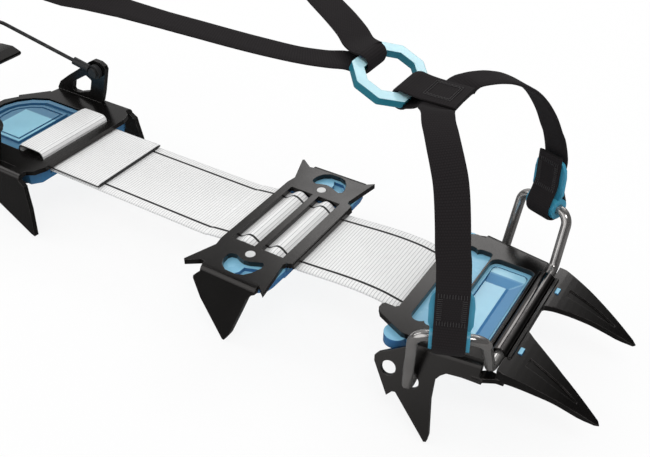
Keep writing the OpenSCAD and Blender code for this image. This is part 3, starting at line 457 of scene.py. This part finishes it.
class Strip:
    """Flat webbing along a path; half-width vectors set its width and its turn.

    t is its thickness, cols the faces across it, and along the length that comes before it, so
    that a weave runs on from one piece to the next.
    """

    def __init__(self, path, half, t, step, along=0.0, cols=10):
        self.t = t
        self.p, self.h = refine([V(q) for q in path], [V(q) for q in half], step)
        self.n = []
        self.d = [along]
        for i in range(len(self.p)):
            tan = tangent(self.p, i)
            w = self.h[i] - tan * tan.dot(self.h[i])
            self.h[i] = unit(w) * self.h[i].length
            self.n.append(unit(tan.cross(self.h[i])))
            if i:
                self.d.append(self.d[-1] + (self.p[i] - self.p[i - 1]).length)
        self.verts, self.faces, self.uv, self.slots = [], [], [], []
        self.body(cols)

    def at(self, u, v, lift):
        """The point u across and v along, lifted off the upper face, or the lower if below 0."""
        i = 0
        while i < len(self.d) - 2 and self.d[i + 1] < v:
            i += 1
        f = (v - self.d[i]) / (self.d[i + 1] - self.d[i])
        p = self.p[i].lerp(self.p[i + 1], f)
        h = self.h[i].lerp(self.h[i + 1], f)
        n = unit(self.n[i].lerp(self.n[i + 1], f))
        return p + unit(h) * u + n * (self.t / 2 + lift if lift >= 0 else -self.t / 2 + lift)

    def body(self, cols):
        """Both faces, with thinner edges, and the two ends."""
        t = self.t / 2
        sec = 2 * (cols + 1)
        for i, p in enumerate(self.p):
            hw = self.h[i].length
            d = unit(self.h[i])
            for side in (1, -1):
                for k in range(cols + 1):
                    s = (-1 + 2 * k / cols) * side
                    z = 0.45 * t if abs(s) == 1 else t
                    self.verts.append(p + d * (s * hw) + self.n[i] * (z * side))
                    self.uv.append((s * hw, self.d[i]))
        for i in range(len(self.p) - 1):
            for k in range(sec):
                a, b = i * sec + k, i * sec + (k + 1) % sec
                self.faces.append((a, b, b + sec, a + sec))
        last = (len(self.p) - 1) * sec
        for k in range(cols):
            a, b = k, k + 1
            c, d = sec - 1 - (k + 1), sec - 1 - k
            self.faces.append((d, c, b, a))
            self.faces.append((last + a, last + b, last + c, last + d))
        self.slots = [0] * len(self.faces)

    def add(self, verts, faces):
        """Vertices and faces in the strip's second material."""
        o = len(self.verts)
        self.verts += verts
        self.uv += [(0.0, 0.0)] * len(verts)
        self.faces += [tuple(o + k for k in f) for f in faces]
        self.slots += [1] * len(faces)

    def stitch(self, line, pitch, side):
        """Sewn thread along corner points given as (across, along)."""
        for a, b in zip(line[:-1], line[1:]):
            n = max(1, round(math.dist(a, b) / pitch))
            for k in range(n):
                s, e = (k + 0.10) / n, (k + 0.90) / n
                pts = []
                for j in range(5):
                    f = s + (e - s) * j / 4
                    lift = (0.02 + 0.16 * math.sin(math.pi * j / 4)) * side
                    pts.append(self.at(a[0] + (b[0] - a[0]) * f, a[1] + (b[1] - a[1]) * f, lift))
                self.add(*tube_mesh(pts, 0.17, 6)[:2])

    def rungs(self, line, pitch):
        """Short threads lying across a sewn row."""
        reach = 0.85
        (u0, v0), (u1, v1) = line
        length = math.dist((u0, v0), (u1, v1))
        n = max(1, round(length / pitch))
        au, av = -(v1 - v0) / length, (u1 - u0) / length
        for k in range(n + 1):
            u, v = u0 + (u1 - u0) * k / n, v0 + (v1 - v0) * k / n
            pts = [self.at(u + au * reach * f, v + av * reach * f, 0.03 + 0.13 * (1 - f * f))
                   for f in (-1.0, -0.5, 0.0, 0.5, 1.0)]
            self.add(*tube_mesh(pts, 0.16, 6)[:2])

    def make(self, name, mats):
        ob = add_object(name, self.verts, self.faces, mats, 50, self.uv, "web")
        ob.data.polygons.foreach_set("material_index", self.slots)
        return ob


def bent(p, rads):
    """The corner points p joined by straight runs, with a bend of the given radius at each."""
    parts = 14
    out = [p[0]]
    for i in range(1, len(p) - 1):
        a, b, c = p[i - 1], p[i], p[i + 1]
        u, w = unit(b - a), unit(c - b)
        th = math.acos(max(-1.0, min(1.0, u.dot(w))))
        r = rads[i - 1]
        cen = b + unit(w - u) * r / math.cos(th / 2)
        s = b - u * r * math.tan(th / 2)
        e1 = unit(s - cen)
        e2 = unit(u.cross(w)).cross(e1)
        out += [cen + r * (math.cos(th * q / parts) * e1 + math.sin(th * q / parts) * e2)
                for q in range(parts + 1)]
    return out + [p[-1]]


def wire(name, p, rads, r, mat, sides, body, replaces):
    vs, fs, uv = tube_mesh(bent([V(q) for q in p], rads), r, sides)
    ob = add_object(name, vs, fs, [mat], 40, uv, "lay")
    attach(ob, body)
    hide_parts(replaces)


# Toe bails: corner points from the end hooked in the flange hole to the end in the toe bar
BAIL = [V(1.15, 40.2, -12.2), V(1.2, 47.4, -15.2), V(4.2, 52, 19),
        V(27.2, 42.8, 19.8), V(27.6, 33.2, -1.9), V(27.6, 22.6, -1.9)]
BAIL_BENDS = [3.4, 5.5, 5.5, 4.6]
BAIL_R = 2.1
for side, path in (("far", BAIL), ("near", mirror(BAIL))):
    wire("toe_bail_" + side, path, BAIL_BENDS, BAIL_R, NICKEL, 32,
         "bail_" + side, "bail_" + side)


# Toe straps: one length round the guard and back on itself, box stitched
STRAP_T = 1.34      # thickness of the black webbing
TOE_HALF = 5.75     # half its width in the toe straps
LEG = 1.82          # how far the two legs' middles lie from the guard's plane
GUARD_LOOP = 5.5    # radius of the webbing's middle round the guard
LAP = 0.72          # rise where the strap leaves its folded end, and where it meets the tab
DIR = unit(BAIL[3] - BAIL[2])
MID = (BAIL[2] + BAIL[3]) / 2
UP = unit(V(0, 0, 1) - DIR * DIR.z)
OUT = UP.cross(DIR)
TOE = [MID + UP * 25] + [V(q) for q in (
    (13.9, 46.8, 50.5), (12.4, 45.5, 55.3), (10.4, 42.9, 62.5), (7.7, 39.2, 69.4), (5.2, 36, 74),
    (2.4, 32.8, 77.3), (-1.6, 28, 80.6), (-5, 23.4, 82), (-8.1, 19, 82.6), (-11, 13.8, 82.8),
    (-13.4, 8.9, 82.8))]
TOE_LAST = len(TOE) - 1


def toe_half(i):
    """Half-width vector at point i of TOE, turning from the bail's run towards the x axis."""
    k = i / TOE_LAST
    return unit(DIR * (1 - k) + V(0.86, -0.51, 0) * k) * TOE_HALF


def local(x, y):
    """The point x inward and y upward from the middle of the bail's upper run."""
    return MID - OUT * x + UP * y


def toe_strap(sign):
    w = DIR * TOE_HALF
    rows = [(local(*q), w) for q in ((1.72, 24.3), (LEG, 22.6), (LEG, 17), (1.84, 10.6),
                                     (3.6, 5.6))]
    rows += [(local(*q), w) for q in arc(0, 0, GUARD_LOOP, 14, -194, 12)]
    rows += [(local(*q), w) for q in ((-3.6, 5.6), (-1.84, 10.6), (-LEG, 17), (-1.7, 22.6))]
    for i in range(1, TOE_LAST):
        lift = LAP * max(-0.2, 1.0 - i / 2.5) if i < 8 else LAP * (i - 7) / 3
        face = unit(tangent(TOE, i).cross(toe_half(i)))
        rows.append((TOE[i] + face * lift, toe_half(i)))
    rows += [(V(-13.0, 10.5, 82.2), V(6.4, -0.6, 0)), (V(-13.6, 7.4, 82.1), V(6.2, 0, 0)),
             (V(-13.8, 0.4, 82.1), V(6.2, 0, 0))]
    path = [V(q.x, q.y * sign, q.z) for q, _ in rows]
    # Half vectors are mirrored with the path, and turned over so the outer face stays outward
    half = [V(h.x, h.y * sign, h.z) * sign for _, h in rows]
    s = Strip(path, half, STRAP_T, 1.3)
    # Box tack: rows of short stitches, on the outer leg and on the folded end
    box_long, e, pitch = 14.0, 4.7, 0.95
    for x, flip in ((-LEG, 1), (LEG, -1)):
        c = local(x, 7.4)
        c = V(c.x, c.y * sign, c.z)
        start = min(range(len(s.p)), key=lambda i: (s.p[i] - c).length)
        a = s.d[start]
        b = a + box_long * flip
        for v in (a + 0.9 * flip, b - 0.9 * flip):
            s.rungs([(-e, v), (e, v)], pitch)
        for u in (-e + 0.6, e - 0.6):
            s.rungs([(u, a + 2.4 * flip), (u, b - 2.4 * flip)], pitch)
    return s


for side, sign in (("far", 1), ("near", -1)):
    ob = toe_strap(sign).make("toe_webbing_" + side, [WEB_TOE, THREAD])
    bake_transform(ob)
    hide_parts("toe_strap_" + side)


# Sewn tab, folded round the ring's front bar
RING_F = V(-28.16, 0, 80.88)    # middles of the ring's front and rear bar
RING_B = V(-45.84, 0, 89.12)
BAR_LOOP = 3.6                  # radius of the webbing's middle round them
TAB_HALF = 8.5
BOX_FROM, BOX_TO = 13.6, 3.2    # ends of the sewn box, from the tab's end


def round_bar(c, a0, a1):
    return [V(x, 0, z) for x, z in arc(c.x, c.z, BAR_LOOP, a0, a1, 14)]


tab = [V(-19.8, 0, 81.3), V(-22.5, 0, 79.3)] + round_bar(RING_F, 312, 84)
tab += [V(-24.4, 0, 83.9), V(-21, 0, 83.62), V(-17, 0, 83.5), V(-12, 0, 83.5), V(-7.1, 0, 83.5)]
s = Strip(tab, [V(0, TAB_HALF, 0)] * len(tab), STRAP_T, 1.2)
end = s.d[-1]
top = 1 if s.n[-1].z > 0 else -1
for inset, e in ((0.0, 5.6), (0.8, 4.8)):
    a, b = end - BOX_FROM + inset, end - BOX_TO - inset
    s.stitch([(-e, a), (e, a), (e, b), (-e, b), (-e, a)], 1.3, top)
ob = s.make("sewn_tab", [WEB_TAB, THREAD])
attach(ob, "toe")
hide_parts("strap_tab")


# Ankle strap: folded round the ring's rear bar, both runs turning upright. Each run has the
# angle in degrees by which the webbing has turned at each of its points.
ANKLE_HALF = 6.5
FAR = [(-52.5, 4, 92.2), (-58, 8.2, 93.6), (-66, 13.2, 95.4), (-77, 19.9, 97.1),
       (-88, 26.5, 98.8), (-99, 32.4, 100.6), (-112, 38, 103), (-125, 42, 105.2),
       (-137, 44.6, 107.2), (-146, 45.7, 108.6), (-155, 46, 109.6), (-166, 46, 110),
       (-176, 46, 110), (-200, 46, 110)]
TURN_FAR = [0, 0, 0, 0, 4, 12, 26, 42, 58, 70, 80, 88, 90, 90]
NEAR = [(-52.5, 4.6, 88.1), (-58, 9.6, 89.4), (-66, 15.4, 91.3), (-77, 20.8, 93.7),
        (-88, 25.5, 96.1), (-99, 29.8, 98.5), (-112, 34.7, 101.2), (-125, 39.4, 104),
        (-137, 43.2, 106.5), (-146, 45.2, 108.2), (-155, 46, 109.4), (-166, 46, 110),
        (-176, 46, 110), (-200, 46, 110)]
TURN_NEAR = [0, 0, 0, 0, 0, 0, 0, 3, 14, 34, 58, 80, 90, 90]


def ankle_run(points, turn):
    """A run's points and half-width vectors, from flat beside the ring to upright."""
    p = [V(q) for q in points]
    h = []
    for i in range(len(p)):
        t = tangent(p, i)
        a = unit(V(-t.y, t.x, 0))
        b = unit(t.cross(a))
        f = math.radians(turn[i])
        w = a * math.cos(f) + b * math.sin(f)
        if i < 2:   # beside the bar it still lies along it
            w = w.lerp(V(0, -1, 0), 0.6 - 0.3 * i)
        h.append(unit(w) * ANKLE_HALF)
    return p, h


far_path, far_half = ankle_run(FAR, TURN_FAR)
near_path, near_half = ankle_run(NEAR, TURN_NEAR)
bar = round_bar(RING_B, -100, 98)
ankle_path = mirror(near_path)[::-1] + bar + far_path
ankle_half = [V(q.x, -q.y, q.z) * -1 for q in near_half[::-1]]
ankle_half += [V(0, -ANKLE_HALF, 0)] * len(bar) + far_half
ob = Strip(ankle_path, ankle_half, STRAP_T, 1.6).make("ankle_webbing", [WEB_ANKLE])
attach(ob, "ring")
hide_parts("ankle_strap")


# Heel strap through the lever's slot
LEVER_PIN = V(-287.41, 0, 43.02)
LEAN = math.radians(10)     # of the lever, back from upright
SLOT_UP, SLOT_BACK = 43.5, 2.6
SLOT = LEVER_PIN + V(-SLOT_BACK * math.cos(LEAN) - SLOT_UP * math.sin(LEAN), 0,
                     SLOT_UP * math.cos(LEAN) - SLOT_BACK * math.sin(LEAN))
DRAWN_SLOT = (-297.4, 85.4)     # x and z that the last points below were drawn for
HEEL_SIDE = [V(q) for q in (
    (-178, 44, 110), (-200, 44, 110), (-238, 44, 110), (-252, 43.2, 108.4), (-264, 40.2, 105.6),
    (-274, 35.4, 102), (-283, 28.4, 97.6), (-290, 20, 92.8), (-294.4, 13, 88.6),
    (-296.6, 9.2, 86.2))]


def heel_strap():
    shift = V(SLOT.x - DRAWN_SLOT[0], 0, SLOT.z - DRAWN_SLOT[1])
    m = len(HEEL_SIDE)
    moved = 3       # points that follow the slot, the last one fully
    far = [q + shift * (max(0, i - m + 1 + moved) / moved) for i, q in enumerate(HEEL_SIDE)]
    path = far + [SLOT + V(0, 4, 0), SLOT + V(0, -4, 0)] + mirror(far)[::-1]
    half = []
    for i in range(len(path)):
        f = min(1, min(i, len(path) - 1 - i) / (m - 1))
        a = V(0, 0, 1) * (1 - f) + V(-math.sin(LEAN), 0, math.cos(LEAN)) * f
        t = tangent(path, i)
        half.append(unit(a - t * a.dot(t)) * ANKLE_HALF)
    return Strip(path, half, STRAP_T, 1.6)


ob = heel_strap().make("heel_webbing", [WEB_ANKLE])
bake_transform(ob)
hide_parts("heel_strap")


# Link webbing, in the lengths that move separately. Each point is its x and z.
LINK_HALF = 22.45
LINK_T = 1.44
LINK_COLS = 22


def link_strip(pts, step, t=LINK_T, half=LINK_HALF, along=0.0):
    p = [V(x, 0, z) for x, z in pts]
    return Strip(p, [V(0, half, 0)] * len(p), t, step, along, LINK_COLS)


def lengthen(pts, front, rear):
    """The same points with the first and last drawn out, to close the gap at a fold."""
    p = [V(x, 0, z) for x, z in pts]
    if front:
        p[0] = p[0] + unit(p[0] - p[1]) * front
    if rear:
        p[-1] = p[-1] + unit(p[-1] - p[-2]) * rear
    return [(q.x, q.z) for q in p]


def link(name, pts, body, node, step=1.2, along=0.0):
    ob = link_strip(pts, step, along=along).make(name, [LINK])
    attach(ob, body)
    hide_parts(node)


LINK_FRONT = [(-17.2, -3.75), (-21, -3.05), (-27, -2.25), (-36, -2.05), (-46, -2.55),
              (-56, -3.45), (-64.2, -4.15)]
LINK_REAR = [(-103.4, -3.75), (-108.2, -4.35), (-113.4, -5.05), (-118.6, -5.6), (-160, -5.6),
             (-216.9, -5.6)]
FOLD_LAP = 0.7


def mid_z(x):
    """Height in the mid plate, where the ribs push the webbing up through both slots."""
    fore, fore_long, rear, rear_long, rise = -71.4, 11.4, -86, 12, 3.0
    low, high = -4.15, -3.65
    if x > fore:
        return low
    if fore - x < fore_long:
        return (low + 0.5 * (fore - x) / fore_long
                + rise * math.sin(math.pi * (fore - x) / fore_long) ** 2)
    if 0 <= rear - x < rear_long:
        return high + rise * math.sin(math.pi * (rear - x) / rear_long) ** 2
    return high


LINK_MID = [(-65.35, -4.15)] + [(-66.5 - i, mid_z(-66.5 - i)) for i in range(35)]
LINK_MID += [(-102.3, -3.75)]
link("link_front_webbing", lengthen(LINK_FRONT, FOLD_LAP, FOLD_LAP), "link_fore", "link_front")
link("link_mid_webbing", LINK_MID, "mid", "link_mid", 0.7, 48.2)
link("link_rear_webbing", lengthen(LINK_REAR, FOLD_LAP, 0.0), "link_aft", "link_rear",
     along=87.0)

# Loose end, with its cut edge sealed in black
s = link_strip([(x, -3.8) for x in (-247.5, -238.0, -217.0, -200.0, -180.3)], 1.2)
seal = link_strip([(x, -3.8) for x in (-180.35, -180.2, -180.0)], 0.4, 1.46)
s.add(seal.verts, seal.faces)
ob = s.make("link_tail_webbing", [LINK_BACK, INK])
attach(ob, "tail")
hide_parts("link_tail")

# Turn round the heel plate's second bar
BIGHT_R = 2.55
bight = [(-217.45, -2.55), (-217.45, -1.2)] + arc(-220, 0, BIGHT_R, 0, 90, 8)
bight += [(-223, 2.64), (-225.8, 2.66), (-228.6, 2.64)] + arc(-231.6, 0, BIGHT_R, 90, 180, 8)
bight += [(-234.15, -1.2), (-234.15, -2.55)]
ob = link_strip(bight, 0.8, 1.40).make("link_bight_webbing", [LINK_BACK])
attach(ob, "heel")
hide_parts("link_bight")

# Sewn loop round the anchor pin
ANCHOR = (-3.2, -6.9)
tuck = [(-15.7, -3.75), (-13.5, -3.75), (-11, -4.55), (-8.6, -5.35)]
tuck += arc(*ANCHOR, 2.4, 150, -150, 12)
ob = link_strip(tuck, 0.9, 1.30, 22.3).make("link_tuck_webbing", [LINK])
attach(ob, "toe")
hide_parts("link_tuck")


# Stepped tray of the anti-balling plate, seen through the toe plate's window
TRAY_TOP, TRAY_LOW, TRAY_RIM = -3.7, -4.5, -2.75
STEP_X, STEP_Y, STEP_WIDE = 15.2, 12.8, 0.9
WINDOW_X = 13.3     # middle of the window, which has rounded corners
WINDOW_HALF_X, WINDOW_HALF_Y, WINDOW_R = 5.5, 20.7, 1.95


def tray_z(x, y):
    """Flat, then a step down and a slope up to the rim, to the front and the far side."""
    past = max(x - STEP_X, y - STEP_Y)
    if past <= 0:
        return TRAY_TOP
    if past < STEP_WIDE:
        return TRAY_TOP - (TRAY_TOP - TRAY_LOW) * past / STEP_WIDE
    return min(TRAY_RIM, TRAY_LOW + (past - STEP_WIDE) * 0.36)


xs = sorted({5.8 + 15.0 * i / 50 for i in range(51)} | {STEP_X, STEP_X + STEP_WIDE})
ys = sorted({-22.7 + 45.4 * i / 90 for i in range(91)} | {STEP_Y, STEP_Y + STEP_WIDE})
vs = [V(x, y, tray_z(x, y)) for x in xs for y in ys]
fs = []
for i in range(len(xs) - 1):
    for k in range(len(ys) - 1):
        cx, cy = (xs[i] + xs[i + 1]) / 2, (ys[k] + ys[k + 1]) / 2
        dx = max(0.0, abs(cx - WINDOW_X) - WINDOW_HALF_X)
        dy = max(0.0, abs(cy) - WINDOW_HALF_Y)
        if math.hypot(dx, dy) < WINDOW_R:
            a = i * len(ys) + k
            fs.append((a, a + len(ys), a + len(ys) + 1, a + 1))
# TRAY paints the flat top light and the step and slopes deep, as painted light and shade
ob = add_object("window_tray", vs, fs, [TRAY], 12)
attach(ob, "toe")


# Heel cable: two legs and a rear run in a plane that rises to the rear from the ear pins
RISE = math.radians(22.56)
EAR_X, EAR_Y, EAR_Z = -232, 33.5, 20
RUN_X, RUN_Y = -60, 19.1        # rear corners, in the cable's plane
EYE = 5.2                       # from the pin's middle to the rope's end
CABLE_R, CABLE_BEND = 1.0, 9


def on_cable(x, y):
    return V(EAR_X + x * math.cos(RISE), y, EAR_Z - x * math.sin(RISE))


leg = unit(V(RUN_X, RUN_Y - EAR_Y, 0))
wire("heel_cable_rope", [on_cable(leg.x * EYE, EAR_Y + leg.y * EYE), on_cable(RUN_X, RUN_Y),
                         on_cable(RUN_X, -RUN_Y), on_cable(leg.x * EYE, -EAR_Y - leg.y * EYE)],
     [CABLE_BEND, CABLE_BEND], CABLE_R, CABLE, 20, "cable", "heel_cable")


# Floor: camera rays see it nearly white, with a faint shadow, and glossy rays see it dark
FLOOR_Z = -34.6
FLOOR_HALF = 6      # metres
FLOOR_GLOW = 0.86   # share of white glow that camera rays see
FLOOR_DIM = 0.88    # share of dim glow that glossy rays see


def stage_floor():
    me = bpy.data.meshes.new("floor")
    z, f = FLOOR_Z * MM, FLOOR_HALF
    me.from_pydata([(-f, -f, z), (f, -f, z), (f, f, z), (-f, f, z)], [], [(0, 1, 2, 3)])
    ob = bpy.data.objects.new("floor", me)
    bpy.context.scene.collection.objects.link(ob)
    m = Mat("floor_white")
    m.set(Base_Color=(0.93, 0.93, 0.93), Roughness=0.9, Specular_IOR_Level=0.0)
    ray = m.node("ShaderNodeLightPath").outputs
    glow = m.node("ShaderNodeEmission", {"Color": (1.0, 1.0, 1.0, 1.0), "Strength": 1.0})
    dim = m.node("ShaderNodeEmission", {"Color": (1.0, 0.98, 0.97, 1.0), "Strength": 0.05})
    seen = m.node("ShaderNodeMixShader", {0: m.math("MULTIPLY", ray["Is Camera Ray"], FLOOR_GLOW),
                                          1: m.shader.outputs[0], 2: glow.outputs[0]})
    last = m.node("ShaderNodeMixShader", {0: m.math("MULTIPLY", ray["Is Glossy Ray"], FLOOR_DIM),
                                          1: seen.outputs[0], 2: dim.outputs[0]})
    m.tree.links.new(last.outputs[0], m.tree.nodes["Material Output"].inputs[0])
    m.material.cycles.emission_sampling = "NONE"
    me.materials.append(m.material)


stage_floor()


# Lamps: name, place, width, height and power, all turned to one point in the crampon's middle
LAMP_TARGET = (-0.10, 0.0, 0.02)
for name, place, wide, high, power in (
    ("key", (0.35, -0.55, 1.25), 0.55, 0.35, 3.9),
    ("side", (-1.15, -0.25, 0.75), 0.35, 0.9, 2.0),
    ("back", (-0.25, 1.1, 0.85), 1.1, 0.30, 2.6),
):
    lamp = bpy.data.lights.new(name, "AREA")
    lamp.shape = "RECTANGLE"
    lamp.size = wide
    lamp.size_y = high
    lamp.energy = power
    ob = bpy.data.objects.new(name, lamp)
    ob.location = place
    ob.rotation_euler = (V(LAMP_TARGET) - V(place)).to_track_quat("-Z", "Y").to_euler()
    bpy.context.scene.collection.objects.link(ob)


# World: camera rays see white, glossy rays see a dark room with two soft patches of light, and
# the rest get a sky that is brighter overhead
world = bpy.data.worlds.new("studio")
bpy.context.scene.world = world
world.use_nodes = True
sky = world.node_tree
background = sky.nodes["Background"]
direction = add_node(sky, "ShaderNodeTexCoord").outputs["Generated"]
height = add_node(sky, "ShaderNodeSeparateXYZ", {0: direction}).outputs[2]
overhead = add_node(sky, "ShaderNodeMapRange",
                    {0: height, 1: 0.0, 2: 0.9, 3: 0.42, 4: 0.92}).outputs[0]


def light_patch(toward, begins, full, low, high):
    """Strength from low to high as the ray turns toward the patch, by the cosine between them."""
    cosine = add_node(sky, "ShaderNodeVectorMath", {0: direction, 1: toward},
                      operation="DOT_PRODUCT").outputs["Value"]
    return add_node(sky, "ShaderNodeMapRange", {0: cosine, 1: begins, 2: full, 3: low, 4: high},
                    interpolation_type="SMOOTHSTEP").outputs[0]


rear_patch = light_patch((-0.42, 0.67, 0.61), 0.45, 0.92, 0.02, 0.52)
front_patch = light_patch((-0.36, -0.84, 0.41), 0.78, 0.95, 0.0, 1.5)
patches = add_node(sky, "ShaderNodeMath", {0: rear_patch, 1: front_patch},
                   operation="ADD").outputs[0]
ray = add_node(sky, "ShaderNodeLightPath").outputs
unseen = add_node(sky, "ShaderNodeMix", {0: ray["Is Glossy Ray"], 2: overhead, 3: patches},
                  data_type="FLOAT").outputs[0]
strength = add_node(sky, "ShaderNodeMix", {0: ray["Is Camera Ray"], 2: unseen, 3: 1.0},
                    data_type="FLOAT").outputs[0]
sky.links.new(strength, background.inputs["Strength"])
background.inputs["Color"].default_value = (1, 1, 1, 1)
